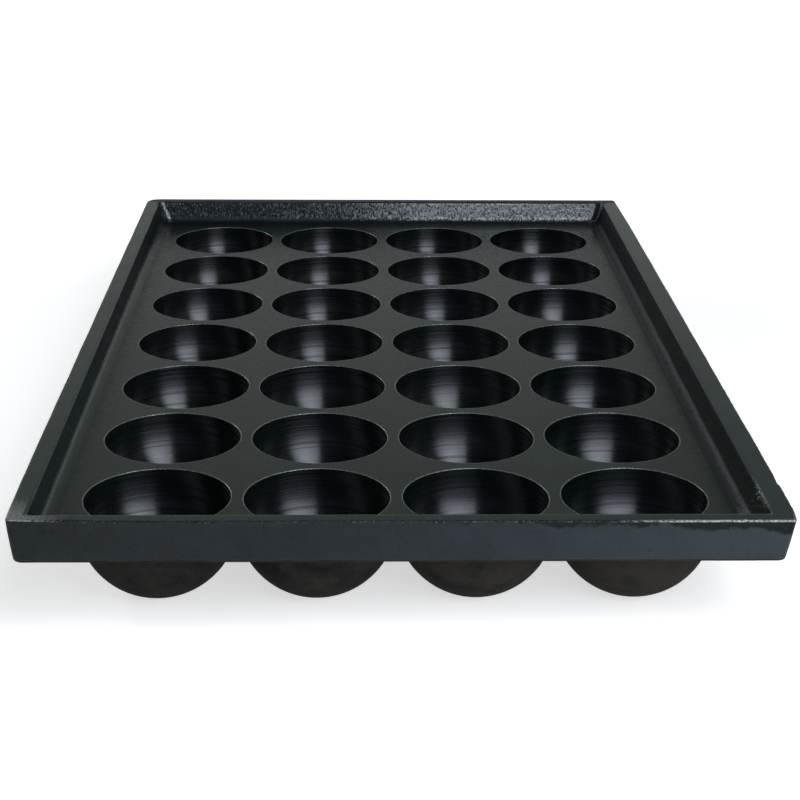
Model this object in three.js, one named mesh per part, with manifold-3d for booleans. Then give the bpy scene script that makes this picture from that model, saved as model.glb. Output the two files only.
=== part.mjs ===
// A cast-iron takoyaki plate with 28 cups, in millimetres, +Z up.
// The real plate is one casting: a shallow tray whose wall leans outwards, with a grid of
// round-bottomed cups that hang below its deck. It has no lid, hinge, handle or fastener.
// Here the casting is cut along flat planes into its regions: the rim frame, and each cup
// with its own rectangle of deck. The regions meet face to face and fill the whole casting.
// The origin lies under the middle of the rim, on the surface that the cups' feet stand on.
// X runs across the plate, and Y runs along it, from the front wall to the back wall.
import * as THREE from "three";
import { mergeVertices } from "three/addons/utils/BufferGeometryUtils.js";
import Module from "manifold-3d";

// The grid of cups, with the metal that is left between neighbouring mouths.
const cupColumns = 4;
const cupRows = 7;
const columnWeb = 3.5;
const rowWeb = 4;

// The cavity of one cup: a short neck that narrows a little, over a hemisphere.
const mouthRadius = 20;
const neckDepth = 2.4;
const neckTaper = 0.4;

// The metal round one cavity: part of a sphere outside, with a small flat foot.
const sideWall = 2.2;
const bottomWall = 5.7;
const footRadius = 4;

// The deck, and how far it runs from the outer mouths to the foot of each wall.
const deckThickness = 4.5;
const leftBorder = 8.7;
const rightBorder = 9.5;
const frontBorder = 8.8;
const backBorder = 9.8;

// The wall round the deck. Its top was ground flat, and came out wider on some sides.
const wallHeight = 8.4;
const leftRim = 5.4;
const rightRim = 6.4;
const frontRim = 4.6;
const backRim = 5;
const innerDraft = 1.1;
const outerDraft = 2.1;
const footFillet = 2;
const lowerEdgeRadius = 2;

// The corners in plan: two are crisp, and two were rounded off by hand.
const innerCorner = 3;
const crispCorner = 1.2;
const backLeftCorner = 5;
const frontRightCorner = 4;

// How far past the outer cups' bulges the cut between cups and rim frame lies.
const cutMargin = 1.5;

// How far a cutter runs past what it cuts.
const overrun = 1;

// How finely the round stretches are cut into flat faces.
const roundSides = 20;
const bowlSteps = 4;
const bulgeSteps = 4;
const cornerSteps = 3;
const filletSteps = 3;

// Radii and spacings that follow from the sizes above.
const columnPitch = 2 * mouthRadius + columnWeb;
const rowPitch = 2 * mouthRadius + rowWeb;
const bowlRadius = mouthRadius - neckTaper;
const bulgeRadius = mouthRadius + sideWall;

// Heights above the surface that the plate stands on.
const bowlCentre = bottomWall + bowlRadius;
const bulgeCentre = Math.sqrt(bulgeRadius ** 2 - footRadius ** 2);
const deckTop = bowlCentre + neckDepth;
const deckUnderside = deckTop - deckThickness;
const rimTop = deckTop + wallHeight;

// From the middle of the grid to the outer cups' middles, and to the outer mouths.
const lastColumn = ((cupColumns - 1) * columnPitch) / 2;
const lastRow = ((cupRows - 1) * rowPitch) / 2;

// The rim's outer edges, and the middle of the grid, which lies a little off their middle.
const outerHalfWidth =
  lastColumn + mouthRadius + innerDraft + (leftBorder + rightBorder + leftRim + rightRim) / 2;
const outerHalfLength =
  lastRow + mouthRadius + innerDraft + (frontBorder + backBorder + frontRim + backRim) / 2;
const gridX = (leftBorder + leftRim - rightBorder - rightRim) / 2;
const gridY = (frontBorder + frontRim - backBorder - backRim) / 2;

const castIron = { color: 0x2a3031, roughness: 0.5, metalness: 0.5 };

const wasm = await Module();
wasm.setup();

// A closed three.js geometry as a solid that can be joined and cut.
function solidOf(geometry) {
  const bare = geometry.index ? geometry.toNonIndexed() : geometry.clone();
  bare.deleteAttribute("normal");
  bare.deleteAttribute("uv");
  const merged = mergeVertices(bare);
  const vertProperties = merged.getAttribute("position").array;
  const triVerts = new Uint32Array(merged.index.array);
  return new wasm.Manifold(new wasm.Mesh({ numProp: 3, vertProperties, triVerts }));
}

// A solid's surface as a three.js geometry.
function geometryOf(solid) {
  const { vertProperties, triVerts } = solid.getMesh();
  const geometry = new THREE.BufferGeometry();
  geometry.setAttribute("position", new THREE.BufferAttribute(vertProperties, 3));
  geometry.setIndex(new THREE.BufferAttribute(triVerts, 1));
  geometry.computeVertexNormals();
  return geometry;
}

// A rectangle in plan, set in by an inset on all sides, with four rounded corners.
// The corners come in the order back right, back left, front left, front right.
function outlineOf({ left, right, front, back, radii }, inset) {
  const corners = [
    [right, back],
    [left, back],
    [left, front],
    [right, front],
  ];
  const outline = [];
  corners.forEach(([x, y], corner) => {
    const radius = radii[corner];
    const centreX = x - Math.sign(x) * (inset + radius);
    const centreY = y - Math.sign(y) * (inset + radius);
    for (let step = 0; step <= cornerSteps; step++) {
      const angle = (Math.PI / 2) * (corner + step / cornerSteps);
      const alongX = centreX + radius * Math.cos(angle);
      const alongY = centreY + radius * Math.sin(angle);
      outline.push(new THREE.Vector2(alongX, alongY));
    }
  });
  return outline;
}

// A solid that goes up from one outline to the next, each with as many points.
function loft(levels) {
  const count = levels[0].outline.length;
  const positions = levels.flatMap(({ outline, z }) => outline.flatMap((p) => [p.x, p.y, z]));
  const faces = [];
  for (let level = 0; level < levels.length - 1; level++) {
    for (let i = 0; i < count; i++) {
      const a = level * count + i;
      const b = level * count + ((i + 1) % count);
      faces.push(a, b, b + count, a, b + count, a + count);
    }
  }
  const top = (levels.length - 1) * count;
  for (const [a, b, c] of THREE.ShapeUtils.triangulateShape(levels[0].outline, [])) {
    faces.push(a, c, b);
  }
  for (const [a, b, c] of THREE.ShapeUtils.triangulateShape(levels.at(-1).outline, [])) {
    faces.push(top + a, top + b, top + c);
  }
  const geometry = new THREE.BufferGeometry();
  geometry.setAttribute("position", new THREE.Float32BufferAttribute(positions, 3));
  geometry.setIndex(faces);
  return solidOf(geometry);
}

// Levels that rise from a rounded lower edge and then lean outwards up to a top.
// The plan is the outline at the rim's height, and the draft is how far it draws in below.
function leaningLevels(plan, bottom, top, edgeRadius, draftPerHeight) {
  const levelAt = (z, roundInset) => {
    const inset = roundInset + draftPerHeight * (rimTop - z);
    return { z, outline: outlineOf(plan, inset) };
  };
  const levels = [];
  for (let step = 0; step <= filletSteps; step++) {
    const angle = ((Math.PI / 2) * step) / filletSteps;
    levels.push(levelAt(bottom + edgeRadius * (1 - Math.cos(angle)), edgeRadius * (1 - Math.sin(angle))));
  }
  levels.push(levelAt(top, 0));
  return levels;
}

// The tray before it is hollowed.
function trayBlock() {
  const plan = {
    left: -outerHalfWidth,
    right: outerHalfWidth,
    front: -outerHalfLength,
    back: outerHalfLength,
    radii: [crispCorner, backLeftCorner, crispCorner, frontRightCorner],
  };
  const draftPerHeight = outerDraft / (rimTop - deckUnderside);
  return loft(leaningLevels(plan, deckUnderside, rimTop, lowerEdgeRadius, draftPerHeight));
}

// The space above the deck, with a fillet where each wall meets it.
function trayPocket() {
  const plan = {
    left: -outerHalfWidth + leftRim,
    right: outerHalfWidth - rightRim,
    front: -outerHalfLength + frontRim,
    back: outerHalfLength - backRim,
    radii: [innerCorner, innerCorner, innerCorner, innerCorner],
  };
  const draftPerHeight = innerDraft / wallHeight;
  return loft(leaningLevels(plan, deckTop, rimTop + overrun, footFillet, draftPerHeight));
}

// A body of revolution about +Z from points of radius and height, bottom first.
function turned(profile) {
  const points = profile.map(([radius, height]) => new THREE.Vector2(radius, height));
  return solidOf(new THREE.LatheGeometry(points, roundSides).rotateX(Math.PI / 2));
}

// Points on a sphere's lower half, from a given radius near its bottom out to its equator.
function lowerArc(sphereRadius, centreHeight, firstRadius, steps) {
  const first = Math.asin(firstRadius / sphereRadius);
  const arc = [];
  for (let step = 0; step <= steps; step++) {
    const angle = first + ((Math.PI / 2 - first) * step) / steps;
    arc.push([sphereRadius * Math.sin(angle), centreHeight - sphereRadius * Math.cos(angle)]);
  }
  return arc;
}

// The outside of one cup, from its foot up into the deck.
function cupBulge() {
  const arc = lowerArc(bulgeRadius, bulgeCentre, footRadius, bulgeSteps);
  const top = deckTop - deckThickness / 2;
  return turned([[0, 0], ...arc, [bulgeRadius, top], [0, top]]);
}

// The hollow of one cup, from its round bottom up past the deck.
function cupHollow() {
  const arc = lowerArc(bowlRadius, bowlCentre, 0, bowlSteps);
  const cutterTop = deckTop + overrun;
  const cutterRadius = mouthRadius + (neckTaper / neckDepth) * overrun;
  return turned([...arc, [cutterRadius, cutterTop], [0, cutterTop]]);
}

// Every place in the grid, with the middle of its cup.
function cupPlaces() {
  const places = [];
  for (let row = 0; row < cupRows; row++) {
    for (let column = 0; column < cupColumns; column++) {
      const x = gridX + column * columnPitch - lastColumn;
      const y = gridY + row * rowPitch - lastRow;
      places.push({ row, column, x, y });
    }
  }
  return places;
}

// One cup with its own rectangle of deck. Neighbouring bulges are alike, so where they run
// into each other, the flat plane halfway between them cuts both at the same outline.
function cupRegion(tray, cell, { x, y }) {
  const bulge = cupBulge().translate([x, y, 0]);
  const hollow = cupHollow().translate([x, y, 0]);
  return tray.add(bulge).intersect(cell).subtract(hollow);
}

// Where the cuts between regions fall along one direction, from the first to the last.
function cutLines(middle, pitch, count, last) {
  const reach = last + bulgeRadius + cutMargin;
  const lines = [middle - reach];
  for (let i = 1; i < count; i++) {
    lines.push(middle - last - pitch / 2 + i * pitch);
  }
  lines.push(middle + reach);
  return lines;
}

// An upright block between two corners in plan, taller than the plate.
function upright(x0, y0, x1, y1) {
  const block = new THREE.BoxGeometry(x1 - x0, y1 - y0, rimTop + 2 * overrun);
  block.translate((x0 + x1) / 2, (y0 + y1) / 2, rimTop / 2);
  return solidOf(block);
}

function addRegion(group, name, solid) {
  const region = new THREE.Mesh(geometryOf(solid), new THREE.MeshStandardMaterial(castIron));
  region.name = name;
  group.add(region);
}

const plate = new THREE.Group();
const tray = trayBlock().subtract(trayPocket());
const cutsX = cutLines(gridX, columnPitch, cupColumns, lastColumn);
const cutsY = cutLines(gridY, rowPitch, cupRows, lastRow);
const grid = upright(cutsX[0], cutsY[0], cutsX.at(-1), cutsY.at(-1));
addRegion(plate, "rim_frame", tray.subtract(grid));
for (const place of cupPlaces()) {
  const { row, column } = place;
  const cell = upright(cutsX[column], cutsY[row], cutsX[column + 1], cutsY[row + 1]);
  addRegion(plate, `cup_row${row + 1}_col${column + 1}`, cupRegion(tray, cell, place));
}

export default plate;
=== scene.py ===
# %% [markdown]
# A takoyaki plate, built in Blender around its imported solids.
#
# The real thing is one iron casting: a shallow tray with a leaning wall, and 28 round cups
# that hang below its deck. Some of it is machined and some is as it left the sand, so this
# lesson is about one shape and several finishes. The solids come first, because every mesh
# here has to lie where they are.

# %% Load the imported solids
import math

import bpy
import numpy as np
from mathutils import Matrix, Vector


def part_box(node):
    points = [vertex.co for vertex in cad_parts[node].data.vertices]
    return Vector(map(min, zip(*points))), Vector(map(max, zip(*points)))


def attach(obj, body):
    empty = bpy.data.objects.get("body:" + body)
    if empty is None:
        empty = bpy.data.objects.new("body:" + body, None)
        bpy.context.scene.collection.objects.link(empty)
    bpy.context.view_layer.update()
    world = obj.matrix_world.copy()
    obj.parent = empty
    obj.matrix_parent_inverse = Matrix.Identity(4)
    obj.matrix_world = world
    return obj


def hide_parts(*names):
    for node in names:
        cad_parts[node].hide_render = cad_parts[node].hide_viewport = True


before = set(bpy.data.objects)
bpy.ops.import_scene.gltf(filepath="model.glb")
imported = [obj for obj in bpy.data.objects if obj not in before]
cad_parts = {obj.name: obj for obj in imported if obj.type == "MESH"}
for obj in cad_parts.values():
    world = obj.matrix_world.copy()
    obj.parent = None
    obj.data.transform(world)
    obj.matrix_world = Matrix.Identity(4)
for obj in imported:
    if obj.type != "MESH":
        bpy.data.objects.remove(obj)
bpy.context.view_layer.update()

# %% [markdown]
# Each solid is one cup with its own rectangle of deck, so the solids' boxes say where the
# cuts between them fall and how high the deck is, and none of that is typed again. What a
# box can't say, such as a mouth's radius, is a named value in metres, within half a
# millimetre of the solids' own.

# %% Sizes of the casting
MM = 0.001
ROWS, COLUMNS = 7, 4
MOUTH_RADIUS = 20 * MM
NECK_DEPTH = 2 * MM
BULGE_RADIUS = 22.2 * MM
FOOT_RADIUS = 4 * MM
INNER_DRAFT = 1.1 * MM
OUTER_DRAFT = 2.1 * MM
FOOT_FILLET = 2 * MM
LOWER_EDGE_RADIUS = 1.5 * MM
RIM_WIDTHS = {"left": 5.4 * MM, "right": 6.4 * MM, "front": 4.6 * MM, "back": 5 * MM}
INNER_CORNERS = [2.5 * MM, 2.5 * MM, 1.2 * MM, 1.2 * MM]
INNER_CORNER_GROWTH = [1.8, 1.8, 0.4, 0.4]
OUTER_CORNERS = [1.2 * MM, 5 * MM, 1.2 * MM, 1.0 * MM]

rim_low, rim_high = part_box("rim_frame")
DECK_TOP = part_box("cup_row1_col1")[1].z
DECK_UNDER = rim_low.z
RIM_TOP = rim_high.z
WALL_HEIGHT = RIM_TOP - DECK_TOP
BOWL_CENTRE = DECK_TOP - NECK_DEPTH
BULGE_CENTRE = math.sqrt(BULGE_RADIUS**2 - FOOT_RADIUS**2)
print("deck top and rim top in mm:", round(DECK_TOP / MM, 2), round(RIM_TOP / MM, 2))

# %% Where each cup lies
columns = [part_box(f"cup_row2_col{c + 1}") for c in range(COLUMNS)]
rows = [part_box(f"cup_row{r + 1}_col2") for r in range(ROWS)]
CUTS_X = [low.x for low, high in columns] + [columns[-1][1].x]
CUTS_Y = [low.y for low, high in rows] + [rows[-1][1].y]
PITCH_X = CUTS_X[2] - CUTS_X[1]
PITCH_Y = CUTS_Y[2] - CUTS_Y[1]
MIDDLES_X = [CUTS_X[1] + (c - 0.5) * PITCH_X for c in range(COLUMNS)]
MIDDLES_Y = [CUTS_Y[1] + (r - 0.5) * PITCH_Y for r in range(ROWS)]
print("pitches in mm:", round(PITCH_X / MM, 3), round(PITCH_Y / MM, 3))

# %% [markdown]
# The camera comes first, so that every later choice can be looked at from where the
# photograph was taken. It was found by laying the 28 mouths and the rim's four edges over
# the photograph: a long lens, a little over half a metre away, that looks down by about 20
# degrees.

# %% Camera
CAMERA_PLACE = Vector((-0.01268, -0.56812, 0.21978))
PITCH_DOWN, YAW, ROLL = 0.35964, 0.02864, 0.0097
SENSOR_WIDTH, FOCAL_LENGTH = 36, 78.137


def add_object(name, data):
    """An object with its data, linked into the scene."""
    item = bpy.data.objects.new(name, data)
    bpy.context.scene.collection.objects.link(item)
    return item


def camera_turn(pitch, yaw, roll):
    """The camera's turn. Its columns point right, up and backwards."""
    flat = math.cos(pitch)
    ahead = Vector((math.sin(yaw) * flat, math.cos(yaw) * flat, -math.sin(pitch)))
    level = Vector((math.cos(yaw), -math.sin(yaw), 0))
    upright = level.cross(ahead)
    right = math.cos(roll) * level + math.sin(roll) * upright
    up = math.cos(roll) * upright - math.sin(roll) * level
    return Matrix((right, up, -ahead)).transposed()


camera_data = bpy.data.cameras.new("camera")
camera_data.sensor_width, camera_data.lens = SENSOR_WIDTH, FOCAL_LENGTH
camera = add_object("camera", camera_data)
turn = camera_turn(PITCH_DOWN, YAW, ROLL)
camera.matrix_world = Matrix.Translation(CAMERA_PLACE) @ turn.to_4x4()
bpy.context.scene.camera = camera
bpy.context.scene.view_settings.view_transform = "Standard"
print("camera to the plate's origin in mm:", round(CAMERA_PLACE.length / MM))

# %% [markdown]
# Everything on this casting is a ring swept inwards or outwards, so a piece gathers rings
# of points and the faces between them. Waves give its skin the slow unevenness. Each is a
# sum of sines with fixed directions, which makes it the same in every run. The grain of the
# sand is finer than any sensible mesh, and is left to the materials.

# %% Rings of points and the faces between them
FINISHES = ["ground_deck", "ground_rim", "outer_wall", "inner_wall", "wall_foot", "rough_wall",
            "turned_cup", "raw_under"]
DECK, RIM, OUTER, INNER, FOOT, ROUGH, TURNED, RAW = range(len(FINISHES))
HIDDEN = len(FINISHES)


class Piece:
    """Rings of points, with the faces between them and each face's finish."""

    def __init__(self, name, node):
        self.name, self.node = name, node
        self.rings, self.faces, self.finishes = [], [], []
        self.total = 0

    def add_ring(self, ring):
        start = self.total
        self.rings.append(np.asarray(ring, float))
        self.total += len(ring)
        return start

    def join(self, outer, inner, count, finish, flip=False):
        """Quads between two rings that run the same way, and face up if the first is outside."""
        here = np.arange(count)
        ahead = (here + 1) % count
        quads = np.stack([outer + here, outer + ahead, inner + ahead, inner + here], 1)
        self.faces += map(tuple, (quads[:, ::-1] if flip else quads).tolist())
        self.finishes += np.broadcast_to(finish, count).tolist()

    def close(self, ring_start, middle, count, finish, flip=False):
        """A fan from a ring to its middle point."""
        tip = self.add_ring([middle])
        for i in range(count):
            corners = (ring_start + i, ring_start + (i + 1) % count, tip)
            self.faces.append(corners[::-1] if flip else corners)
            self.finishes.append(finish)


# %% Slow waves
def make_waves(seed, shortest, longest, count=24):
    """A smooth function of points that mostly stays between -1 and 1."""
    draw = np.random.default_rng(seed)
    directions = draw.normal(size=(count, 3))
    directions /= np.linalg.norm(directions, axis=1)[:, None]
    turns_per_metre = directions / draw.uniform(shortest, longest, count)[:, None]
    phases = draw.uniform(0, 2 * math.pi, count)

    def waves(points):
        angles = 2 * math.pi * points @ turns_per_metre.T + phases
        return np.sin(angles).sum(1) / math.sqrt(count)

    return waves


wall_waves = make_waves(7, 9 * MM, 40 * MM)
sand_waves = make_waves(11, 1.3 * MM, 3.2 * MM, 40)
chip_waves = make_waves(23, 1.2 * MM, 5 * MM)
print("wall waves at one corner:", wall_waves(np.array([rim_low])).round(3))

# %% [markdown]
# Seen from above, a cup's mouth has to be a true circle, and its rectangle of deck has to
# meet the neighbours' rectangles. A fan of spokes does both: each runs from the middle of
# the cup to the rectangle, and four of them end exactly in its corners.

# %% Spokes of one cup
SPOKES_PER_SIDE = 20


def spokes(low_x, low_y, high_x, high_y, x, y):
    """Each spoke's direction, and how far it runs to the rectangle."""
    corners = [(high_x, low_y), (high_x, high_y), (low_x, high_y), (low_x, low_y)]
    angles = np.unwrap([math.atan2(cy - y, cx - x) for cx, cy in corners + corners[:1]])
    turns = [np.linspace(a, b, SPOKES_PER_SIDE, endpoint=False) for a, b in zip(angles, angles[1:])]
    cos, sin = np.cos(np.concatenate(turns)), np.sin(np.concatenate(turns))
    with np.errstate(divide="ignore"):
        reach_x = np.where(cos > 0, high_x - x, x - low_x) / abs(cos)
        reach_y = np.where(sin > 0, high_y - y, y - low_y) / abs(sin)
    return cos, sin, np.minimum(reach_x, reach_y)


# %% [markdown]
# The inside was cut with a ball cutter as wide as the bowl: a short straight neck over a
# clean hemisphere. The edge of the mouth is broken by a quarter of a millimetre, and that
# narrow round draws the thin light line round each mouth.

# %% Profile of the inside: mouth, neck and bowl
MOUTH_EDGE = 0.25 * MM
LIP = 0.3 * MM
DECK_RINGS, EDGE_STEPS, BOWL_STEPS = 6, 4, 24


def run_along(points):
    """The distance along a run of points, up to each of them."""
    return np.concatenate([[0], np.cumsum(np.hypot(*np.diff(points, axis=0).T))])


def inside_profile():
    """Radius and height of each ring, from the mouth's edge down into the bowl."""
    rings = []
    for angle in np.linspace(0, math.pi / 2, EDGE_STEPS + 1):
        rings.append((MOUTH_RADIUS + MOUTH_EDGE * (1 - math.sin(angle)),
                      DECK_TOP - MOUTH_EDGE * (1 - math.cos(angle))))
    for angle in np.linspace(0, math.pi / 2, BOWL_STEPS, endpoint=False):
        rings.append((MOUTH_RADIUS * math.cos(angle), BOWL_CENTRE - MOUTH_RADIUS * math.sin(angle)))
    return np.array(rings)


INSIDE = inside_profile()
INSIDE_RUN = run_along(INSIDE)
print("inside runs", round(INSIDE_RUN[-1] / MM, 1), "mm from the mouth to near the bottom")

# %% [markdown]
# The outside came out of the sand: part of a sphere, a small flat foot, and a fillet where
# it grows out of the deck. The outline is kept as a run of points, so that any distance
# along it gives a radius and a height, and the rings can spread evenly.

# %% Profile of the outside: foot, bulge and fillet
BULGE_FILLET = 1.4 * MM
FOOT_EDGE = 0.1
BULGE_STEPS, FILLET_STEPS = 60, 16


def outside_profile():
    """Points of radius and height from the foot's middle to the end of the fillet."""
    first = math.asin(FOOT_RADIUS / BULGE_RADIUS) * (1 + FOOT_EDGE)
    points = [(0, 0), (FOOT_RADIUS * (1 - FOOT_EDGE), 0)]
    for angle in np.linspace(first, math.pi / 2, BULGE_STEPS):
        points.append((BULGE_RADIUS * math.sin(angle),
                       BULGE_CENTRE - BULGE_RADIUS * math.cos(angle)))
    for angle in np.linspace(0, math.pi / 2, FILLET_STEPS + 1)[1:]:
        points.append((BULGE_RADIUS + BULGE_FILLET * (1 - math.cos(angle)),
                       BULGE_CENTRE + (DECK_UNDER - BULGE_CENTRE) * math.sin(angle)))
    return np.array(points)


OUTSIDE = outside_profile()
OUTSIDE_RUN = run_along(OUTSIDE)


def run_at_radius(radius):
    """How far along the outline a radius lies. Past its end the underside is flat."""
    return np.interp(radius, OUTSIDE[:, 0], OUTSIDE_RUN) + np.maximum(radius - OUTSIDE[-1, 0], 0)


def outside_at_run(run):
    radius = np.interp(run, OUTSIDE_RUN, OUTSIDE[:, 0]) + np.maximum(run - OUTSIDE_RUN[-1], 0)
    return radius, np.interp(run, OUTSIDE_RUN, OUTSIDE[:, 1])


# %% [markdown]
# Neighbouring bulges run into each other. Two spheres would meet in a knife edge, and iron
# doesn't fill sand that sharp, so the surface is drawn down a little where two bulges are
# nearly as low as each other. Its slope comes out level at the tile's edge, and the tiles
# meet smoothly.

# %% Rounded valleys between the bulges
VALLEY_ROUND = 1.6 * MM


def valley_fill(x, y, height, middle_x, middle_y):
    """How far the rounded valley lies below the bulge itself."""
    fill = np.zeros_like(height)
    for step_x, step_y in ((PITCH_X, 0), (-PITCH_X, 0), (0, PITCH_Y), (0, -PITCH_Y)):
        other_x, other_y = middle_x + step_x, middle_y + step_y
        if not (CUTS_X[0] < other_x < CUTS_X[-1] and CUTS_Y[0] < other_y < CUTS_Y[-1]):
            continue
        other = outside_at_run(run_at_radius(np.hypot(x - other_x, y - other_y)))[1]
        nearness = np.clip(1 - (other - height) / VALLEY_ROUND, 0, 1)
        bulging = np.clip((DECK_UNDER - other) / MM, 0, 1)
        fill = np.maximum(fill, nearness**2 * bulging * VALLEY_ROUND / 4)
    return fill


# %% Cups
BULGE_RINGS, OUTER_RINGS = 22, 14
FIXED_SHARE = 0.87
CROWDING = 0.8


def cup_piece(row, column):
    """One cup with its rectangle of deck, closed along the cuts."""
    x, y = MIDDLES_X[column], MIDDLES_Y[row]
    cos, sin, reach = spokes(CUTS_X[column], CUTS_Y[row], CUTS_X[column + 1], CUTS_Y[row + 1], x, y)
    count = len(cos)
    node = f"cup_row{row + 1}_col{column + 1}"
    piece = Piece("cast_" + node, node)

    def ring(radius, height):
        return np.stack([x + radius * cos, y + radius * sin, height + 0 * cos], 1)

    top = [piece.add_ring(ring(reach + (INSIDE[0, 0] + LIP - reach) * share**CROWDING, DECK_TOP))
           for share in np.linspace(0, 1, DECK_RINGS)]
    top += [piece.add_ring(ring(radius, height)) for radius, height in INSIDE]
    for i, (outer, inner) in enumerate(zip(top, top[1:])):
        piece.join(outer, inner, count, DECK if i < DECK_RINGS + EDGE_STEPS else TURNED)
    piece.close(top[-1], (x, y, BOWL_CENTRE - MOUTH_RADIUS), count, TURNED)

    fixed_run = run_at_radius(FIXED_SHARE * BULGE_RADIUS)
    reach_run = run_at_radius(reach)
    under = []
    for share in np.linspace(0, 1, OUTER_RINGS, endpoint=False):
        points = ring(*outside_at_run(reach_run + (fixed_run - reach_run) * share))
        points[:, 2] -= valley_fill(points[:, 0], points[:, 1], points[:, 2], x, y)
        under.append(piece.add_ring(points))
    for share in np.linspace(1, 0, BULGE_RINGS, endpoint=False):
        under.append(piece.add_ring(ring(*outside_at_run(fixed_run * share))))
    for outer, inner in zip(under, under[1:]):
        piece.join(outer, inner, count, RAW, flip=True)
    piece.close(under[-1], (x, y, 0), count, RAW, flip=True)
    piece.join(under[0], top[0], count, HIDDEN)
    return piece


cups = [cup_piece(row, column) for row in range(ROWS) for column in range(COLUMNS)]
print("cups:", len(cups), "with", cups[0].total, "points each")

# %% [markdown]
# The rim frame is one section swept round a rectangle: deck, fillet, inner wall, rim, outer
# wall, rounded lower edge and underside. A hand-ground casting isn't symmetrical, so its
# sides differ in width and its corners in radius, and each ring is drawn as its own
# outline. All have the same number of points, with more along the front and the back, for
# the chipped edge and the coarse skin. Inside, the back corners are crisp at the rim and
# grow rounder towards the deck.

# %% Outlines of the rim frame
LONG_SPACING, SHORT_SPACING = 1.1 * MM, 0.5 * MM
CORNER_STEPS, CUT_CORNER = 8, 3 * MM
WIDTH, LENGTH = rim_high.x - rim_low.x, rim_high.y - rim_low.y
SIDE_POINTS = [round(WIDTH / SHORT_SPACING), round(LENGTH / LONG_SPACING)] * 2
INNER_PLAN = {"left": rim_low.x + RIM_WIDTHS["left"], "right": rim_high.x - RIM_WIDTHS["right"],
              "front": rim_low.y + RIM_WIDTHS["front"], "back": rim_high.y - RIM_WIDTHS["back"],
              "radii": INNER_CORNERS, "growth": INNER_CORNER_GROWTH}
OUTER_PLAN = {"left": rim_low.x, "right": rim_high.x, "front": rim_low.y, "back": rim_high.y,
              "radii": OUTER_CORNERS, "growth": [0] * 4}


def with_sides(arcs):
    """Four corner arcs, and evenly spaced points along the side after each of them."""
    points = []
    for corner, arc in enumerate(arcs):
        shares = np.linspace(0, 1, SIDE_POINTS[corner] + 2)[1:-1, None]
        points += [arc, arc[-1] + (arcs[(corner + 1) % 4][0] - arc[-1]) * shares]
    return np.concatenate(points)


def outline(plan, inset):
    """A plan's outline, set in on all sides. It starts at the back right corner."""
    arcs = []
    corners = [(plan["right"], plan["back"]), (plan["left"], plan["back"]),
               (plan["left"], plan["front"]), (plan["right"], plan["front"])]
    for corner, (x, y) in enumerate(corners):
        radius = plan["radii"][corner] + plan["growth"][corner] * max(inset, 0)
        middle = [x - math.copysign(inset + radius, x), y - math.copysign(inset + radius, y)]
        angles = math.pi / 2 * (corner + np.linspace(0, 1, CORNER_STEPS + 1))
        arcs.append(np.array(middle) + radius * np.stack([np.cos(angles), np.sin(angles)], 1))
    return with_sides(arcs)


def cut_outline():
    """The rectangle round the cups' tiles, whose corners are the middle points of its arcs."""
    ways = [(0, 1), (-1, 0), (0, -1), (1, 0)]
    arcs = []
    for corner, place in enumerate([(CUTS_X[-1], CUTS_Y[-1]), (CUTS_X[0], CUTS_Y[-1]),
                                    (CUTS_X[0], CUTS_Y[0]), (CUTS_X[-1], CUTS_Y[0])]):
        steps = np.linspace(-1, 1, CORNER_STEPS + 1)[:, None] * CUT_CORNER
        along = np.where(steps < 0, ways[corner], ways[(corner + 1) % 4])
        arcs.append(np.array(place) + steps * along)
    return with_sides(arcs)


# %% Section of the rim frame
INNER_EDGE, OUTER_EDGE = 0.5 * MM, 0.45 * MM
RUB = 0.25 * MM
RINGS = {"fillet": 9, "inner": 12, "inner_edge": 4, "top": 7, "outer_edge": 4, "outer": 15,
         "lower": 7}
INSIDE_STRETCHES = ("fillet", "inner", "inner_edge")
OUTSIDE_STRETCHES = ("outer_edge", "outer", "lower")


def inner_inset(height):
    return INNER_DRAFT * (RIM_TOP - height) / WALL_HEIGHT


def outer_inset(height):
    return OUTER_DRAFT * (RIM_TOP - height) / (RIM_TOP - DECK_UNDER)


def rim_section():
    """Each ring's stretch of the section, inset, height and the finish that follows it."""
    section = []
    for angle in np.linspace(0, math.pi / 2, RINGS["fillet"]):
        height = DECK_TOP + FOOT_FILLET * (1 - math.cos(angle))
        inset = inner_inset(height) + FOOT_FILLET * (1 - math.sin(angle))
        section.append(("fillet", inset, height, DECK if angle < math.pi / 2 else INNER))
    for height in np.linspace(DECK_TOP + FOOT_FILLET, RIM_TOP - INNER_EDGE, RINGS["inner"])[1:]:
        section.append(("inner", inner_inset(height), height, INNER))
    for angle in np.linspace(0, math.pi / 2, RINGS["inner_edge"])[1:]:
        height = RIM_TOP - INNER_EDGE * (1 - math.sin(angle))
        section.append(("inner_edge", -INNER_EDGE * (1 - math.cos(angle)), height, RIM))
    for share in np.linspace(0, 1, RINGS["top"])[1:-1]:
        section.append(("top", share, RIM_TOP, RIM))
    for angle in np.linspace(math.pi / 2, 0, RINGS["outer_edge"]):
        height = RIM_TOP - OUTER_EDGE * (1 - math.sin(angle))
        section.append(("outer_edge", OUTER_EDGE * (1 - math.cos(angle)), height, OUTER))
    below_edge = RIM_TOP - OUTER_EDGE - RUB
    for height in np.linspace(below_edge, DECK_UNDER + LOWER_EDGE_RADIUS, RINGS["outer"]):
        section.append(("outer", outer_inset(height), height, OUTER))
    for angle in np.linspace(0, math.pi / 2, RINGS["lower"])[1:]:
        height = DECK_UNDER + LOWER_EDGE_RADIUS * (1 - math.sin(angle))
        inset = outer_inset(height) + LOWER_EDGE_RADIUS * (1 - math.cos(angle))
        section.append(("lower", inset, height, RAW))
    return section


print("rings in the section:", len(rim_section()))

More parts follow.
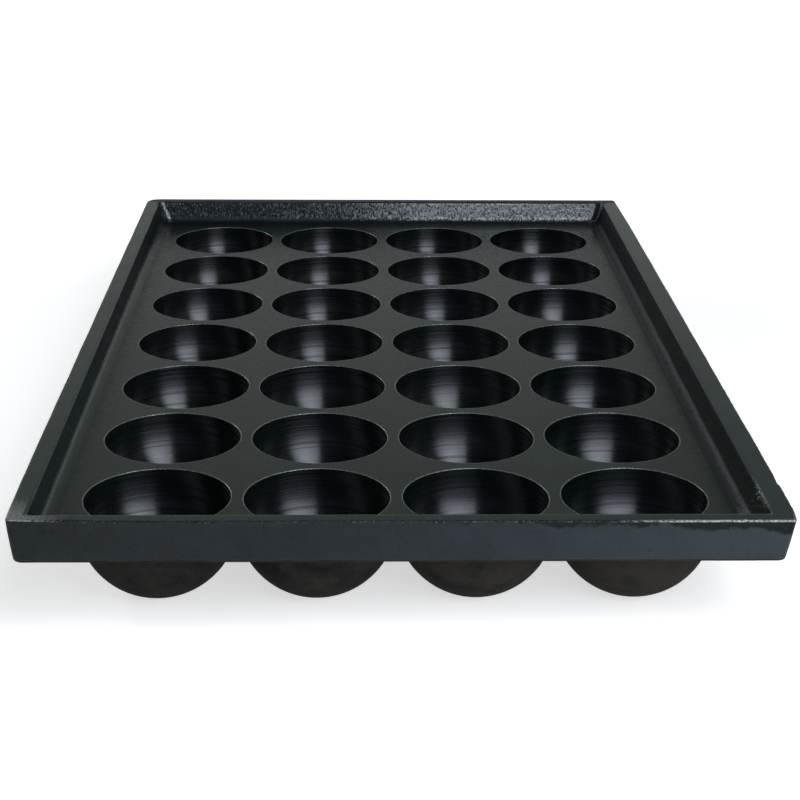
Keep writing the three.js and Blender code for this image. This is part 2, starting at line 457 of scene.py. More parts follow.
# %% [markdown]
# The wall is where the hand work shows. The sand left slow waves in it, and a coarse skin
# inside the back wall. The right wall leans in more than the others, and both side walls
# have wider fillets. Grinding broke small chips out of the rim's edges, most of them at the
# right end of the front. The front left corner is rubbed back by up to two millimetres,
# both right corners were eased in, and the right side has a small dent. None of this takes
# the plate past its true size.

# %% Unevenness of the wall
INNER_WAVE, OUTER_WAVE = 0.06 * MM, 0.04 * MM
SAND_DEPTH = 0.06 * MM
MORE_LEAN, MORE_FILLET = {"left": 0, "right": 1.3 * MM}, {"left": 1 * MM, "right": 0.5 * MM}
SIDE_REACH = 12 * MM
OUTER_SHIFT = 1.6
CHIP_DEPTH, CHIP_HEIGHT = 0.45 * MM, 0.9 * MM
CHIP_LIMIT, CHIP_ELSEWHERE = 0.6, 0.25
KNOCKED_FROM, KNOCKED_FULL = 52 * MM, 70 * MM
RUBBED_BACK, RUBBED_IN, RUBBED_REACH = 2.0 * MM, 0.35 * MM, 45 * MM
STEEPER = 0.7 * MM
EASED_WIDTH = 5 * MM
EASED = [("front", 0.8 * MM, 9 * MM), ("back", 0.6 * MM, 55 * MM)]
DENT_DEPTH, DENT_START, DENT_LENGTH = 0.45 * MM, 23 * MM, 7 * MM


def outward_in_plan(ring):
    """Each point's outward direction in plan, from its neighbours on the ring."""
    run = np.roll(ring, -1, 0) - np.roll(ring, 1, 0)
    side = np.stack([run[:, 1], -run[:, 0], 0 * run[:, 0]], 1)
    return side / np.linalg.norm(side, axis=1)[:, None]


def at_back(ring):
    """Which points of a ring lie in the inner face of the back wall."""
    return ring[:, 1] > rim_high.y - RIM_WIDTHS["back"] - FOOT_FILLET - INNER_DRAFT


def knocked(ring):
    """How far towards the battered right end of the front each point lies, from 0 to 1."""
    front = ring[:, 1] < rim_low.y + RIM_WIDTHS["front"]
    return front * np.clip((ring[:, 0] - KNOCKED_FROM) / (KNOCKED_FULL - KNOCKED_FROM), 0, 1)


def rubbed(ring, reach):
    """How close to the rubbed front left corner each point lies, from 0 to 1."""
    away = np.hypot(ring[:, 0] - rim_low.x, ring[:, 1] - rim_low.y)
    return np.clip(1 - away / reach, 0, 1)


def worked_by_hand(ring, height):
    """A ring of the outside, with its corners eased or rubbed and its one dent."""
    moved = ring.copy()
    behind, before = ring[:, 1] - rim_low.y, rim_high.y - ring[:, 1]
    right = np.clip((ring[:, 0] - rim_high.x) / EASED_WIDTH + 1, 0, 1)
    for end, depth, reach in EASED:
        away = behind if end == "front" else before
        moved[:, 0] -= depth * right * np.clip(1 - away / reach, 0, 1) ** 2
    dent = np.clip(1 - (behind - DENT_START) / DENT_LENGTH, 0, 1) * (behind > DENT_START)
    moved[:, 0] -= DENT_DEPTH * right * dent
    upper = (height - DECK_UNDER) / (RIM_TOP - DECK_UNDER)
    front = np.clip(1 - behind / RIM_WIDTHS["front"], 0, 1)
    left = np.clip(1 - (ring[:, 0] - rim_low.x) / RIM_WIDTHS["left"], 0, 1)
    near = rubbed(ring, RUBBED_REACH)
    moved[:, 1] += RUBBED_BACK * near**2 * upper * front
    moved[:, 0] += (RUBBED_IN * near**2 * upper - STEEPER * near * (1 - upper)) * left
    return moved


def spread_at_sides(ring, height):
    """A ring of the inside, drawn in where a side wall leans more or has a wider fillet."""
    moved = ring.copy()
    low = (RIM_TOP - height) / WALL_HEIGHT
    rise = np.clip((height - DECK_TOP) / FOOT_FILLET, 0, 1)
    foot = 1 - math.sqrt(1 - (1 - rise) ** 2)
    for side, way, wall in (("left", 1, rim_low.x), ("right", -1, rim_high.x)):
        away = way * (ring[:, 0] - wall) - RIM_WIDTHS[side]
        near = np.clip(2 - away / SIDE_REACH, 0, 1)
        moved[:, 0] += way * near * (MORE_LEAN[side] * low + MORE_FILLET[side] * foot)
    return moved


def weathered(ring, stretch, height):
    """The ring with its waves, coarse skin, chips and worked corners."""
    out = outward_in_plan(ring)
    wave = wall_waves(ring)
    move = np.zeros(len(ring))
    if stretch in ("fillet", "inner"):
        rise = np.clip((height - DECK_TOP) / FOOT_FILLET, 0, 1)
        move += rise * (INNER_WAVE * wave + SAND_DEPTH * at_back(ring) * sand_waves(ring))
        ring = spread_at_sides(ring, height)
    if stretch in OUTSIDE_STRETCHES:
        move -= OUTER_WAVE * (OUTER_SHIFT + wave).clip(0)
        chip = (chip_waves(ring) - CHIP_LIMIT).clip(0, 1)
        near_top = np.clip(1 - (RIM_TOP - height) / CHIP_HEIGHT, 0, 1)
        share = CHIP_ELSEWHERE + (1 - CHIP_ELSEWHERE) * knocked(ring)
        move -= CHIP_DEPTH * chip * near_top * share
    moved = ring + out * move[:, None]
    return moved if stretch in INSIDE_STRETCHES else worked_by_hand(moved, height)


# %% Rim frame
GROUND_RISE = 0.1 * MM
UNDER_SHARES = (0.3, 0.65, 1)


def rim_piece():
    """The rim frame, closed along the cut to the cups' tiles."""
    piece = Piece("cast_rim", "rim_frame")
    cut = cut_outline()
    count = len(cut)
    inner_top, outer_top = outline(INNER_PLAN, -INNER_EDGE), outline(OUTER_PLAN, OUTER_EDGE)
    first = piece.add_ring(np.column_stack([cut, np.full(count, DECK_TOP)]))
    last, finish = first, DECK
    for stretch, inset, height, next_finish in rim_section():
        inside = stretch in INSIDE_STRETCHES
        if stretch == "top":
            plan = inner_top + (outer_top - inner_top) * inset
        else:
            plan = outline(INNER_PLAN if inside else OUTER_PLAN, inset)
        ring = np.column_stack([plan, np.full(count, height)])
        start = piece.add_ring(weathered(ring, stretch, height))
        piece.join(start, last, count, finish)
        last, finish = start, next_finish
        if finish == DECK and height > DECK_TOP + GROUND_RISE:
            finish = np.where(ring[:, 0] > 0, FOOT, DECK)
        if inside:
            finish = np.where(at_back(ring), ROUGH, finish)
    for share in UNDER_SHARES:
        under = piece.rings[-1][:, :2] * (1 - share) + cut * share
        start = piece.add_ring(np.column_stack([under, np.full(count, DECK_UNDER)]))
        piece.join(start, last, count, RAW)
        last = start
    piece.join(first, last, count, HIDDEN)
    return piece


rim = rim_piece()
pieces = [rim] + cups
print("rim frame:", rim.total, "points,", 2 * len(rim.faces), "triangles")

# %% [markdown]
# The pieces meet along flat cuts that nobody should see. With its own smooth shading, a
# piece would know only the faces on its side of a cut, and the cut would show as a faint
# line. So the normals are averaged over the whole casting first: points at the same place
# share one normal, and each piece gets its part.

# %% Shared normals
WELD, TINY = 1e-7, 1e-30


def shared_normals(pieces):
    """For each piece, the normal of each of its points in the whole casting's skin."""
    points = np.concatenate([np.concatenate(piece.rings) for piece in pieces])
    keys = np.round(points / WELD).astype(np.int64)
    same = np.unique(keys, axis=0, return_inverse=True)[1].reshape(-1)
    total = np.zeros((same.max() + 1, 3))
    start = 0
    for piece in pieces:
        skin = np.array([face + face[-1:] if len(face) == 3 else face
                         for face, finish in zip(piece.faces, piece.finishes)
                         if finish != HIDDEN]).T + start
        a, b, c, d = points[skin]
        for corner in skin:
            np.add.at(total, same[corner], np.cross(c - a, d - b))
        start += piece.total
    total /= np.linalg.norm(total, axis=1)[:, None].clip(TINY)
    normals = total[same]
    ends = np.cumsum([piece.total for piece in pieces])
    return np.split(normals, ends[:-1])


normals = shared_normals(pieces)
print("normals:", sum(len(part) for part in normals))

# %% [markdown]
# The plate is iron with a thin dark coat, burnt or oiled on, so it is darker and glossier
# than bare iron, and each region carries it differently. A few small helpers build all the
# finishes. They use the object's own coordinates: every piece's origin is the plate's
# origin, so a texture runs on across the cuts.

# %% Helpers for node materials
def new_finish(name):
    """The principled shader of a new node material, and the object's coordinates."""
    material = bpy.data.materials.new(name)
    material.use_nodes = True
    nodes = material.node_tree.nodes
    return nodes["Principled BSDF"], nodes.new("ShaderNodeTexCoord").outputs["Object"]


def wire(node, inputs):
    """Gives inputs their number, colour (a tuple) or other node's output. Returns outputs."""
    for name, value in inputs.items():
        if isinstance(value, bpy.types.NodeSocket):
            node.id_data.links.new(value, node.inputs[name])
        else:
            node.inputs[name].default_value = (*value, 1) if isinstance(value, tuple) else value
    return node.outputs


def after(socket, kind):
    """A new node in a socket's own tree, which is its id_data."""
    return socket.id_data.nodes.new(kind)


def noise(coords, size, detail=3, roughness=0.55, stretch=(1, 1, 1)):
    """Noise whose grains are about as large as size, in metres, between 0 and 1."""
    scale = [1 / (size * s) for s in stretch]
    mapping = after(coords, "ShaderNodeMapping")
    place = wire(mapping, {"Vector": coords, "Scale": scale})["Vector"]
    return wire(after(place, "ShaderNodeTexNoise"), {
        "Vector": place, "Scale": 1, "Detail": detail, "Roughness": roughness})["Fac"]


def remap(value, low, high, new_low=0.0, new_high=1.0):
    """A value's range between low and high, stretched to a new range."""
    return wire(after(value, "ShaderNodeMapRange"), {
        "Value": value, "From Min": low, "From Max": high,
        "To Min": new_low, "To Max": new_high})["Result"]


def spread(grains, new_low, new_high):
    """Noise stretched to a new range. Nearly all noise lies between 0.3 and 0.7."""
    return remap(grains, 0.3, 0.7, new_low, new_high)


def combine(operation, first, second=0):
    """A value, and a second value or a number, put together by one operation."""
    node = after(first, "ShaderNodeMath")
    node.operation = operation
    return wire(node, {0: first, 1: second})["Value"]


def blend_colours(share, first, second):
    """Two colours mixed by a share. A mix node's inputs 6 and 7 and output 2 are colours."""
    node = after(share, "ShaderNodeMix")
    node.data_type = "RGBA"
    return wire(node, {0: share, 6: first, 7: second})[2]


def bumps(*layers):
    """Bumps laid over each other, each from its heights and its depth in metres."""
    inputs = {}
    for height, depth in layers:
        inputs.update({"Height": height, "Distance": depth})
        inputs["Normal"] = wire(after(height, "ShaderNodeBump"), inputs)["Normal"]
    return inputs["Normal"]


def axes_of(vector):
    """The X, Y and Z of a vector, as outputs."""
    return wire(after(vector, "ShaderNodeSeparateXYZ"), {"Vector": vector})


def attribute(socket, name, output="Fac"):
    """A value that the mesh carries at its points, or a vector, in the socket's tree."""
    node = after(socket, "ShaderNodeAttribute")
    node.attribute_name = name
    return node.outputs[output]


BARE_IRON = (0.42, 0.42, 0.41)


def wear_through(coat, ragged, low, high, bare=BARE_IRON, edge=None):
    """A shader's inputs for bare iron where the coat has rubbed off in ragged patches."""
    edge = edge or attribute(coat, "edge")
    worn = remap(combine("MULTIPLY", edge, ragged), low, high)
    return {"Base Color": blend_colours(worn, coat, bare), "Metallic": worn}


# %% [markdown]
# The deck was ground flat and then coated, so it is satin: it shows the wall beside it as a
# soft dark band, and looks lighter towards the back, where it is seen at a flatter angle.
# That gloss does most of the work, and the colour under it can stay nearly black. The rim
# was ground by hand, smoother towards the right and duller along the back. The deck is dull
# in front of the back wall, where the grinder couldn't reach, and a little along the right
# wall.

# %% Ground deck and ground rim
SIDE_FROM, SIDE_TO = rim_high.x - 16 * MM, rim_high.x - 11.3 * MM
DULL_DECK = {"from": rim_high.y - 30 * MM, "to": rim_high.y - 12 * MM, "side": 0.65,
             "roughness": 0.55, "specular": 0.15}
DULL_RIM = {"from": rim_high.y - 5.5 * MM, "to": rim_high.y - 4.5 * MM, "side": 0,
            "roughness": 0.45, "specular": 0.3}
WORN_ROUGHNESS = 0.6


def ground_finish(name, dark, light, roughness, wear, smoother_right, dulling):
    """Ground iron under its coat, smoother towards the right and dull where dulling says."""
    shader, coords = new_finish(name)
    axes = axes_of(coords)
    cloud = noise(coords, 14 * MM, detail=5)
    coat = blend_colours(remap(cloud, 0.35, 0.65), dark, light)
    ragged = noise(coords, 0.5 * MM, detail=4, roughness=0.7)
    worn = wear_through(coat, ragged, *wear)
    patch = noise(coords, 2.2 * MM, detail=4)
    smoother = remap(axes["X"], -20 * MM, 90 * MM, 0, smoother_right)
    rough = combine("SUBTRACT", spread(patch, *roughness), smoother)
    scuffed = remap(worn["Metallic"], 0, 1, 0, WORN_ROUGHNESS)
    dull = combine("MAXIMUM", remap(axes["Y"], dulling["from"], dulling["to"]),
                   remap(axes["X"], SIDE_FROM, SIDE_TO, 0, dulling["side"]))
    for other in (scuffed, combine("MULTIPLY", dull, dulling["roughness"])):
        rough = combine("MAXIMUM", rough, other)
    grain = noise(coords, 0.5 * MM, detail=3)
    scratches = noise(coords, 0.4 * MM, detail=2, stretch=(1, 14, 1))
    wire(shader, {
        **worn, "Roughness": rough, "Specular Tint": (0.80, 1, 0.95),
        "Specular IOR Level": remap(dull, 0, 1, 0.5, dulling["specular"]),
        "Normal": bumps((grain, 0.007 * MM), (scratches, 0.004 * MM))})


ground_finish("ground_deck", (0.005, 0.0085, 0.0075), (0.008, 0.0135, 0.012),
              (0.22, 0.31), (0.24, 0.62), smoother_right=0, dulling=DULL_DECK)
ground_finish("ground_rim", (0.008, 0.013, 0.012), (0.014, 0.021, 0.020),
              (0.24, 0.35), (0.3, 0.6), smoother_right=0.12, dulling=DULL_RIM)
print("the deck is dull behind y =", round(DULL_DECK["from"] / MM), "mm")

# %% [markdown]
# The wall kept its sand-cast skin: pebbles, which are noise, and pits, which are a second
# noise that cuts in only where it passes a limit. Outside, the colour gets lighter towards
# the right, which is painted light from the right, and a thicker, darker band hangs down
# from the rim there with a ragged border.
# The fillet at the right wall's foot kept its skin too, but is glossier. Inside the back
# wall the skin is much coarser, and its grains are rubbed bare. They are barer in the right
# half, which is painted light from the right, and two slanting bare lines where that wall
# meets its neighbours are painted highlights, with a strip of painted shade beside the
# right one.

# %% As-cast wall and its rough stretch
BAND_SLOPE, BAND_FROM, BAND_FULL = 0.035, RIM_TOP - 0.2 * MM, RIM_TOP + 0.7 * MM
BAND_SWAY, BAND_FRAY = 2.2 * MM, 0.4 * MM
BAND_COAT = (0.0055, 0.007, 0.0085)
CLOUDED = 0.17


def cast_wall_finish(name, left, right, specular, wear, bare=BARE_IRON):
    """A sand-cast skin whose colour changes from left to right, with a band under the rim. On the
    outer wall its lighter right is painted light.
    """
    shader, coords = new_finish(name)
    axes = axes_of(coords)
    cloud = noise(coords, 14 * MM, detail=6, roughness=0.62)
    across = remap(axes["X"], -100 * MM, 100 * MM)
    across = combine("MULTIPLY", across, across)
    across = combine("ADD", across, spread(cloud, -CLOUDED, CLOUDED))
    # The blend from the left colour to the right one: on the outer wall this is painted light from
    # the right.
    coat = blend_colours(across, left, right)
    frayed = noise(coords, 1.6 * MM, detail=4, roughness=0.7)
    border = axes["Z"]
    for shift in (spread(cloud, -BAND_SWAY, BAND_SWAY), spread(frayed, -BAND_FRAY, BAND_FRAY),
                  combine("MULTIPLY", axes["X"], BAND_SLOPE)):
        border = combine("ADD", border, shift)
    thick = remap(border, BAND_FROM, BAND_FULL)
    coat = blend_colours(thick, coat, BAND_COAT)
    ragged = noise(coords, 0.6 * MM, detail=4, roughness=0.7)
    patch = noise(coords, 1.2 * MM, detail=4)
    pebbles = noise(coords, 0.9 * MM, detail=4, roughness=0.65)
    pits = remap(noise(coords, 1.3 * MM, detail=2), 0.64, 0.72, 1, 0)
    wire(shader, {
        **wear_through(coat, ragged, *wear, bare=bare),
        "Roughness": spread(patch, 0.38, 0.6), "Specular Tint": (0.82, 0.95, 1),
        "Specular IOR Level": remap(thick, 0, 1, *specular),
        "Normal": bumps((pebbles, 0.13 * MM), (pits, 0.2 * MM))})


# Each line down the back wall has its x at the rim, its shift down to the foot, its half
# width, and its values inside and outside. The first one is painted shade, a darker strip
# beside the right corner. The others are painted highlights down the two corners, drawn as
# bare iron.
PAINTED_SHADE_LINE = (INNER_PLAN["right"] - 0.9 * MM, -2.5 * MM, 1.5 * MM, 0.3, 1)
PAINTED_HIGHLIGHT_LINES = [(INNER_PLAN["left"] + 1.2 * MM, 3.6 * MM, 0.8 * MM, 1.25, 0),
              (INNER_PLAN["right"] - 0.4 * MM, -2.5 * MM, 0.3 * MM, 1.3, 0)]
SAND_COATS = [(0.006, 0.009, 0.01), (0.012, 0.016, 0.018)]
SAND_BARE = (0.25, 0.26, 0.285)


def slanting_line(axes, top, shift, half_width, inside, outside):
    slant = combine("MULTIPLY", axes["Z"], shift / WALL_HEIGHT)
    place = combine("ADD", axes["X"], slant)
    away = combine("SUBTRACT", place, top + shift * RIM_TOP / WALL_HEIGHT)
    away = combine("ABSOLUTE", away)
    return remap(away, 0.6 * half_width, 1.4 * half_width, inside, outside)


def rough_wall_finish():
    """The coarse skin inside the back wall, with its grains rubbed bare, and painted highlights and
    painted shade along its corners.
    """
    shader, coords = new_finish("rough_wall")
    axes = axes_of(coords)
    cloud = noise(coords, 12 * MM, detail=4)
    coat = blend_colours(remap(cloud, 0.35, 0.65), *SAND_COATS)
    sand = noise(coords, 0.65 * MM, detail=3, roughness=0.6, stretch=(1, 1, 2))
    # A strip of painted shade beside the right corner, then painted highlights down both corners,
    # drawn as bare iron.
    corner_shade = slanting_line(axes, *PAINTED_SHADE_LINE)
    edge = combine("MULTIPLY", attribute(coat, "edge"), corner_shade)
    for line in PAINTED_HIGHLIGHT_LINES:
        edge = combine("MAXIMUM", edge, slanting_line(axes, *line))
    wire(shader, {
        **wear_through(coat, sand, 0.4, 0.64, SAND_BARE, edge), "Roughness": 0.4,
        "Specular Tint": (0.85, 0.9, 1), "Specular IOR Level": 0.25,
        "Normal": bumps((sand, 0.3 * MM))})


INNER_LEFT_COAT = (0.0105, 0.0145, 0.014)
SPECKS_LOOK = {"wear": (0.4, 0.5), "bare": (0.7, 0.7, 0.68)}
# The outer wall's right colour, much lighter than its left, is painted light from the right.
cast_wall_finish("outer_wall", (0.0045, 0.006, 0.0077), (0.029, 0.038, 0.0455),
                 specular=(0.25, 0.14), wear=(0.3, 0.55))
cast_wall_finish("inner_wall", INNER_LEFT_COAT, (0.003, 0.0055, 0.005),
                 specular=(0.1, 0.08), **SPECKS_LOOK)
cast_wall_finish("wall_foot", INNER_LEFT_COAT, (0.004, 0.0065, 0.006),
                 specular=(0.34, 0.34), **SPECKS_LOOK)
rough_wall_finish()
# These lines are painted highlights and painted shade on the back wall's corners.
print("bare lines on the back wall:", len(PAINTED_HIGHLIGHT_LINES))

# %% [markdown]
# The cups were turned, and each pass of the tool left a fine ring. The mesh carries the
# distance from the mouth along the surface, as a value called turned. Noise of that one
# value gives rings of uneven depth, as a worn tool does, and each cup's value starts
# somewhere else.
#
# Rings too fine to see throw light up and down the cup's slope and hardly sideways. The
# shader's anisotropic value does that, and the mesh carries the slope's direction for it.
# The coat of oil on top mirrors more sharply, so a cup shows a crisp block of light inside
# a tall, faint one. The deeper grooves hold less oil, and cross that block as dark lines.

# %% Turned cup
def ring_noise(socket, size, detail):
    """Noise of the distance from the mouth alone, which makes every grain a whole ring."""
    node = after(socket, "ShaderNodeTexNoise")
    node.noise_dimensions = "1D"
    return wire(node, {"W": attribute(socket, "turned"), "Scale": 1 / size,
                       "Detail": detail, "Roughness": 0.6})["Fac"]


def turned_cup_finish():
    """The oiled inside of a cup, with its rings and its upright highlight."""
    shader, coords = new_finish("turned_cup")
    passes = ring_noise(coords, 0.8 * MM, 3)
    grooves = remap(ring_noise(coords, 1.3 * MM, 0), 0.6, 0.68)
    grain = noise(coords, 0.35 * MM, detail=2)
    skin = bumps((passes, 0.005 * MM), (grooves, 0.012 * MM), (grain, 0.018 * MM))
    wire(shader, {
        "Base Color": (0.0012, 0.003, 0.003), "Specular Tint": (0.84, 0.9, 1),
        "Specular IOR Level": 0.42, "Roughness": spread(passes, 0.2, 0.34),
        "Anisotropic": 0.9, "Tangent": attribute(coords, "slope", "Vector"),
        "Coat Weight": remap(grooves, 0, 1, 0.5, 0.08),
        "Coat Roughness": spread(grain, 0.1, 0.24), "Normal": skin, "Coat Normal": skin})


turned_cup_finish()
print("finishes so far:", len(bpy.data.materials))

# %% [markdown]
# The underside was never ground or polished. It is matt and brownish black, from burnt oil
# and a little rust, over the coarse grain of the sand.

# %% Raw underside
def raw_under_finish():
    """The matt black of the underside, a little lighter and browner towards the right."""
    shader, coords = new_finish("raw_under")
    cloud = noise(coords, 9 * MM, detail=6, roughness=0.65)
    to_right = remap(axes_of(coords)["X"], -20 * MM, 70 * MM, 0, 0.5)
    browner = combine("ADD", remap(cloud, 0.38, 0.62), to_right)
    sand = noise(coords, 0.7 * MM, detail=3, roughness=0.6)
    lumps = noise(coords, 4 * MM, detail=2)
    wire(shader, {
        "Base Color": blend_colours(browner, (0.017, 0.0175, 0.018), (0.044, 0.0405, 0.036)),
        "Roughness": spread(cloud, 0.75, 0.95), "Specular IOR Level": 0.03,
        "Normal": bumps((sand, 0.12 * MM), (lumps, 0.15 * MM))})


raw_under_finish()
materials = [bpy.data.materials[name] for name in FINISHES]
print("finishes:", [material.name for material in materials])

# %% [markdown]
# Each gathered piece becomes a mesh. It takes the whole casting's normals on its skin, keeps
# flat ones on the hidden cuts, and carries what the materials read: edge, which is 1 along
# the edges that rub against things, turned, and the slope's direction in the cups.

# %% Values along the edges and round the cups
CUP_OFFSET = 0.371
OUTER_WEAR, KNOCKED_WEAR, INNER_WEAR, MOUTH_WEAR = 0.56, 0.9, 0.5, 0.78
CORNER_WEAR, CORNER_REACH = 1.15, 30 * MM
# Bareness of the back wall's grains by x in mm. Its rise towards the right is painted light from
# the right.
BACK_WEAR_AND_LIGHT = [(-92, 0.78), (-55, 0.76), (-35, 0.82), (-18, 0.88), (0, 1.02), (20, 1.25), (94, 1.3)]
FOOT_FADE = 0.35
SPECKS = [(-88 * MM, -158 * MM, 12 * MM), (92 * MM, -150 * MM, 24 * MM)]
SPECK_WEAR, SPECK_LESS = 0.78, 0.13


def speck_wear(ring, height):
    """Bare specks in the front corners, fewer halfway up the wall than at its foot and edge."""
    if height < DECK_TOP + GROUND_RISE:
        return np.zeros(len(ring))
    middle = 1 - abs(2 * (height - DECK_TOP) / WALL_HEIGHT - 1)
    near = [1 - ((ring[:, 0] - x)**2 + (ring[:, 1] - y)**2) / reach**2 for x, y, reach in SPECKS]
    return (SPECK_WEAR - SPECK_LESS * middle) * np.maximum(*near).clip(0)


def back_bare_and_light(ring, height):
    """How bare the coarse skin of the back wall is along a ring, down to the wall's foot. Its rise
    towards the right is painted light from the right.
    """
    rise = np.clip((height - DECK_TOP) / FOOT_FILLET, 0, 1)
    return rise**FOOT_FADE * np.interp(ring[:, 0] / MM, *zip(*BACK_WEAR_AND_LIGHT))


def rim_wear(ring, stretch, height):
    """How exposed one ring of the rim frame is at each of its points."""
    amount = np.zeros(len(ring))
    if stretch == "outer_edge":
        amount += OUTER_WEAR + (KNOCKED_WEAR - OUTER_WEAR) * knocked(ring)
    if stretch in ("top", "outer_edge"):
        amount = np.maximum(amount, CORNER_WEAR * rubbed(ring, CORNER_REACH))
    if stretch in INSIDE_STRETCHES:
        edge = stretch == "inner_edge"
        back, rest = (0, INNER_WEAR) if edge else (back_bare_and_light(ring, height), 0)
        amount = np.maximum(np.where(at_back(ring), back, rest), speck_wear(ring, height))
    return amount


def edge_value(piece):
    """How exposed each point is, from its place in the section. On the back wall it also holds
    painted light from the right.
    """
    values = np.zeros(piece.total)
    count = len(piece.rings[0])
    if piece is rim:
        for number, (stretch, inset, height, finish) in enumerate(rim_section(), 1):
            wear = rim_wear(piece.rings[number], stretch, height)
            values[number * count:(number + 1) * count] = wear
    else:
        values[DECK_RINGS * count:(DECK_RINGS + EDGE_STEPS) * count] = MOUTH_WEAR
    return values


def turned_value(piece, number):
    """The distance from the mouth along the bowl, with each cup starting somewhere else."""
    values = np.zeros(piece.total)
    if piece is not rim:
        count = len(piece.rings[0])
        mouth, tip = DECK_RINGS * count, (DECK_RINGS + len(INSIDE_RUN)) * count
        values[mouth:tip] = np.repeat(INSIDE_RUN, count)
        values[tip] = INSIDE_RUN[-1] + MOUTH_RADIUS * math.pi / 2 / BOWL_STEPS
        values += number * CUP_OFFSET
    return values


def slope_value(piece):
    """The direction down the slope of a cup's inside, at each point."""
    values = np.zeros((piece.total, 3))
    values[:, 0] = 1
    if piece is not rim:
        rings = np.stack(piece.rings[:DECK_RINGS + len(INSIDE_RUN)])
        slope = np.gradient(rings, axis=0)
        slope /= np.linalg.norm(slope, axis=2)[:, :, None]
        values[:slope.shape[0] * slope.shape[1]] = slope.reshape(-1, 3)
    return values


# %% Meshes
def make_mesh(piece, number, skin_normals):
    """A piece's mesh. Its hidden faces are flat, and leave their normals to Blender."""
    mesh = bpy.data.meshes.new(piece.name)
    mesh.from_pydata(np.concatenate(piece.rings).tolist(), [], piece.faces)
    for material in materials:
        mesh.materials.append(material)
    finishes = np.array(piece.finishes, np.int32)
    mesh.polygons.foreach_set("material_index", np.minimum(finishes, RAW))
    mesh.polygons.foreach_set("use_smooth", finishes != HIDDEN)
    for name, kind, socket, values in (("edge", "FLOAT", "value", edge_value(piece)),
                                       ("turned", "FLOAT", "value", turned_value(piece, number)),
                                       ("slope", "FLOAT_VECTOR", "vector", slope_value(piece))):
        data = mesh.attributes.new(name, kind, "POINT").data
        data.foreach_set(socket, values.astype(np.float32).ravel())
    skin_normals = skin_normals.tolist()
    mesh.normals_split_custom_set([(0, 0, 0) if finish == HIDDEN else skin_normals[point]
                                   for face, finish in zip(piece.faces, finishes)
                                   for point in face])
    return mesh


for number, (piece, skin_normals) in enumerate(zip(pieces, normals)):
    casting = add_object(piece.name, make_mesh(piece, number, skin_normals))
    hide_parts(piece.node)
    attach(casting, "root")
print("meshes:", len(pieces))

# %% [markdown]
# The studio is plain: a pale floor, grey air, and one tall soft panel at the front right,
# which each cup mirrors as an upright block of light. Only the eye and reflections see the
# floor's glow, so it throws no light on the plate, and the plate's shadow stays on the
# floor. Far from the panel the floor gets less light of its own, so the glow grows with the
# distance.

# %% Floor
FLOOR_HALF = 12.0
GLOW_NEAR, GLOW_FAR = 0.62, 1.0
GLOW_FROM, GLOW_TO = 0.2, 0.5


def screen(name, points, wide):
    """An object whose quads join rows of points, with so many points in each row."""
    faces = [(i, i + 1, i + 1 + wide, i + wide)
             for i in range(len(points) - wide) if (i + 1) % wide]
    mesh = bpy.data.meshes.new(name)
    mesh.from_pydata(points, [], faces)
    return add_object(name, mesh)


ENDS = (-FLOOR_HALF, FLOOR_HALF)
floor = screen("floor", [(x, y, 0) for y in ENDS for x in ENDS], len(ENDS))

paint, coords = new_finish("floor_paint")
bsdf = wire(paint, {"Base Color": (0.9, 0.9, 0.9), "Roughness": 0.9,
                    "Specular IOR Level": 0})["BSDF"]
rays = after(coords, "ShaderNodeLightPath").outputs
mirrored = combine("MAXIMUM", rays["Is Glossy Ray"], rays["Is Transmission Ray"])
seen = combine("MAXIMUM", rays["Is Camera Ray"], mirrored)
distance = after(coords, "ShaderNodeVectorMath")
distance.operation = "LENGTH"
away = wire(distance, {0: coords})["Value"]
grown = remap(away, GLOW_FROM, GLOW_TO, GLOW_NEAR, GLOW_FAR)
strength = combine("MULTIPLY", seen, grown)
glow = wire(after(seen, "ShaderNodeEmission"), {"Strength": strength})["Emission"]
both = wire(after(glow, "ShaderNodeAddShader"), {0: bsdf, 1: glow})["Shader"]
wire(paint.id_data.nodes["Material Output"], {"Surface": both})
floor.data.materials.append(bpy.data.materials["floor_paint"])
print("floor:", 2 * FLOOR_HALF, "m wide, its glow grows from", GLOW_NEAR, "to", GLOW_FAR)

# %% [markdown]
# The air is brightest at the horizon and dark overhead, as in a room with pale walls and an
# unlit ceiling. The deck mirrors the horizon at a flat angle, so it looks lighter towards
# the back. The cups mirror what is in front and overhead, and stay dark, because the room
# is dim there, most of all on the left. It is dimmer at the back right too, so the deck's
# right border is the darker one.

# %% Air
AIR_COLOUR = (0.94, 1, 0.99)
AIR_LEVELS = [(0, 1.0), (6, 0.69), (14, 0.35), (25, 0.195), (38, 0.08), (60, 0.05), (90, 0.04)]
AIR_BACK_RIGHT, AIR_FRONT_LEFT, AIR_FRONT_RIGHT = 0.82, 0.3, 1.4

world = bpy.data.worlds.new("air")
world.use_nodes = True
nodes = world.node_tree.nodes
axes = axes_of(nodes.new("ShaderNodeTexCoord").outputs["Generated"])
ramp = nodes.new("ShaderNodeValToRGB")
sky = wire(ramp, {"Fac": axes["Z"]})["Color"]
stops = ramp.color_ramp.elements
while len(stops) < len(AIR_LEVELS):
    stops.new(0.5)
for stop, (elevation, level) in zip(stops, AIR_LEVELS):
    stop.position = math.sin(math.radians(elevation))
    stop.color = (*(level * part for part in AIR_COLOUR), 1)
at_front = remap(axes["Y"], 0.4, -0.2)
in_front = remap(axes["X"], -0.6, 0.6, AIR_FRONT_LEFT, AIR_FRONT_RIGHT)
behind = remap(axes["X"], 0.1, 0.24, 1, AIR_BACK_RIGHT)
step = combine("MULTIPLY", at_front, combine("SUBTRACT", in_front, behind))
wire(nodes["Background"], {"Color": sky, "Strength": combine("ADD", behind, step)})
bpy.context.scene.world = world
print("air: brightness by degrees above the horizon:", AIR_LEVELS)

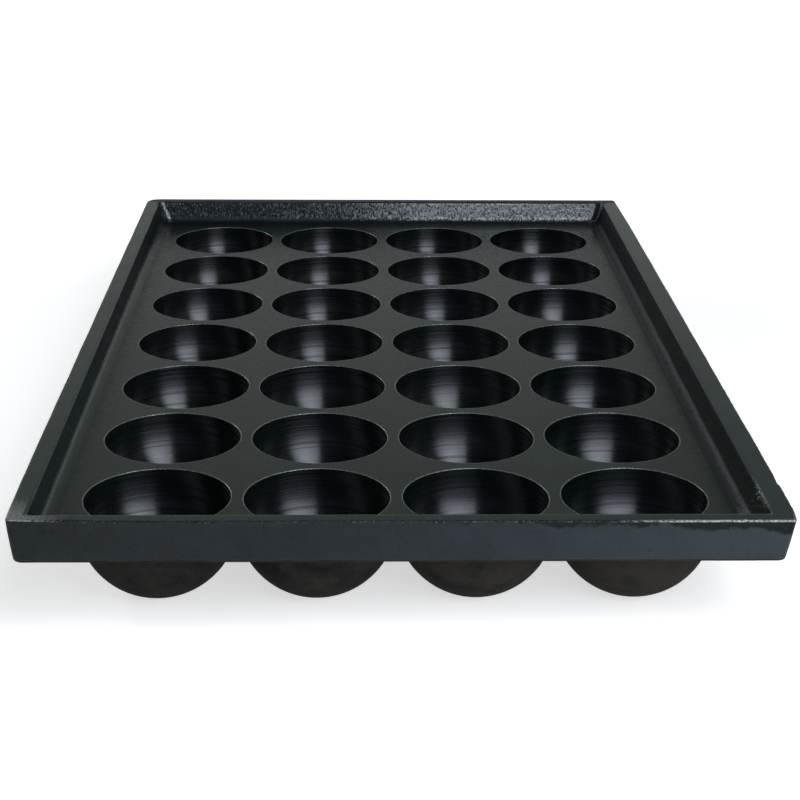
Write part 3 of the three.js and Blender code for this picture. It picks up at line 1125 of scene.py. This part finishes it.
# %% [markdown]
# The panel is a cloth screen with a lamp behind it, which fades towards its lower edge and
# its right edge. A lamp of Blender's can't do that so simply, so the panel is a small grid
# of glowing faces whose points carry their own brightness. The camera, which stands behind
# it, doesn't see it.

# %% Panel
PANEL_LEFT, PANEL_RIGHT = (-0.004, -0.445), (0.330, -0.250)
PANEL_GLOW = 4.85
PANEL_COLOUR = (0.95, 0.98, 1.04)
PANEL_ACROSS = [(0, 0.45), (0.15, 0.6), (0.35, 0.85), (0.55, 1.0),
                (0.7, 0.95), (0.8, 0.72), (0.9, 0.4), (1, 0.15)]
PANEL_UP = [(0.06, 0.2), (0.085, 0.5), (0.15, 0.6), (0.19, 0.85),
            (0.23, 1.0), (0.6, 1.0), (1.25, 1.0)]

panel_points, panel_glow = [], []
for z, up_level in PANEL_UP:
    for share, across_level in PANEL_ACROSS:
        x, y = (a + (b - a) * share for a, b in zip(PANEL_LEFT, PANEL_RIGHT))
        panel_points.append((x, y, z))
        panel_glow.append(up_level * across_level)
panel = screen("panel", panel_points, len(PANEL_ACROSS))
panel.data.attributes.new("glow", "FLOAT", "POINT").data.foreach_set("value", panel_glow)
panel.visible_camera = False

shader, coords = new_finish("lit_cloth")
strength = combine("MULTIPLY", attribute(coords, "glow"), PANEL_GLOW)
light = wire(after(strength, "ShaderNodeEmission"),
             {"Color": PANEL_COLOUR, "Strength": strength})["Emission"]
nodes = shader.id_data.nodes
wire(nodes["Material Output"], {"Surface": light})
nodes.remove(shader)
panel.data.materials.append(bpy.data.materials["lit_cloth"])
print("panel:", len(panel.data.polygons), "faces, brightest", PANEL_GLOW)

# %% [markdown]
# A small lamp behind the plate on the left does one thing only: it lights the rounded edge
# of each mouth on its right side, where the photograph has a thin bright arc.

# %% Edge lamp
EDGE_LAMP_PLACE = Vector((-0.62, 0.62, 0.42))
EDGE_LAMP_SIZE, EDGE_LAMP_GLOW = 0.25, 7.0

edge_light = bpy.data.lights.new("edge_lamp", "AREA")
edge_light.size = EDGE_LAMP_SIZE
edge_light.energy = EDGE_LAMP_GLOW * math.pi * EDGE_LAMP_SIZE**2
edge_lamp = add_object("edge_lamp", edge_light)
edge_lamp.visible_camera = False
turn = EDGE_LAMP_PLACE.to_track_quat("Z", "Y").to_matrix().to_4x4()
edge_lamp.matrix_world = Matrix.Translation(EDGE_LAMP_PLACE) @ turn
print("edge lamp in watts:", round(edge_light.energy, 2))

# %% [markdown]
# The last cell brings the scene up to date.

# %% Update the scene
bpy.context.view_layer.update()
